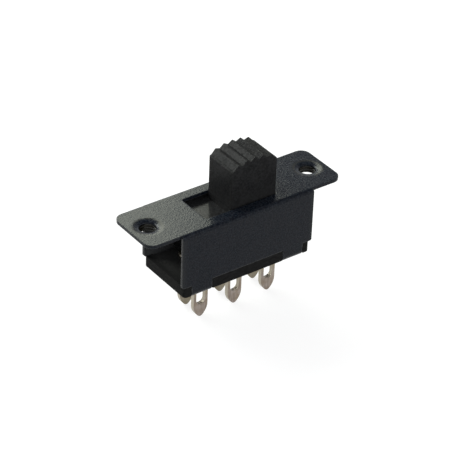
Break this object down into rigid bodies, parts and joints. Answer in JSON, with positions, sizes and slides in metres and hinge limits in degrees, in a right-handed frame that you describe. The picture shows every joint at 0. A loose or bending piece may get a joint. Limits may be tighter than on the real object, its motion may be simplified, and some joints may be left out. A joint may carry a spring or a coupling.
{
  "type": "slide switch",
  "caption": "Panel-mount slide switch: folded black steel bracket with two screw ears, ridged black knob in a slot, terminal board with eyed solder lugs below.",
  "frame": {"origin": "centre of the bracket's top face, midway between its two screw holes", "axes": "+X along the slot and the row of screw holes, +Z out of the panel along the screws, +Y across the bracket"},
  "size_m": [0.0344, 0.0104, 0.0252],
  "materials": {
    "black_steel": "satin black oxide",
    "black_plastic": "moulded, fine matt",
    "phenolic": "punched paper laminate, dark brown",
    "tinned_brass": "dull tin plating",
    "contact_bronze": "bright",
    "spring_steel": "drawn wire"
  },
  "bodies": {
    "housing": {"bracket": "black_steel", "terminal_board": "phenolic", "terminal_left_near": "tinned_brass", "terminal_middle_near": "tinned_brass", "terminal_right_near": "tinned_brass", "terminal_left_far": "tinned_brass", "terminal_middle_far": "tinned_brass", "terminal_right_far": "tinned_brass"},
    "carriage": {"slider": "black_plastic", "moving_contact_near": "contact_bronze", "moving_contact_far": "contact_bronze", "contact_spring_near": "spring_steel", "contact_spring_far": "spring_steel"}
  },
  "joints": [
    {"name": "knob_slide", "type": "slide", "parent": "housing", "child": "carriage", "axis": [1, 0, 0], "range_m": [-0.0045, 0]}
  ]
}
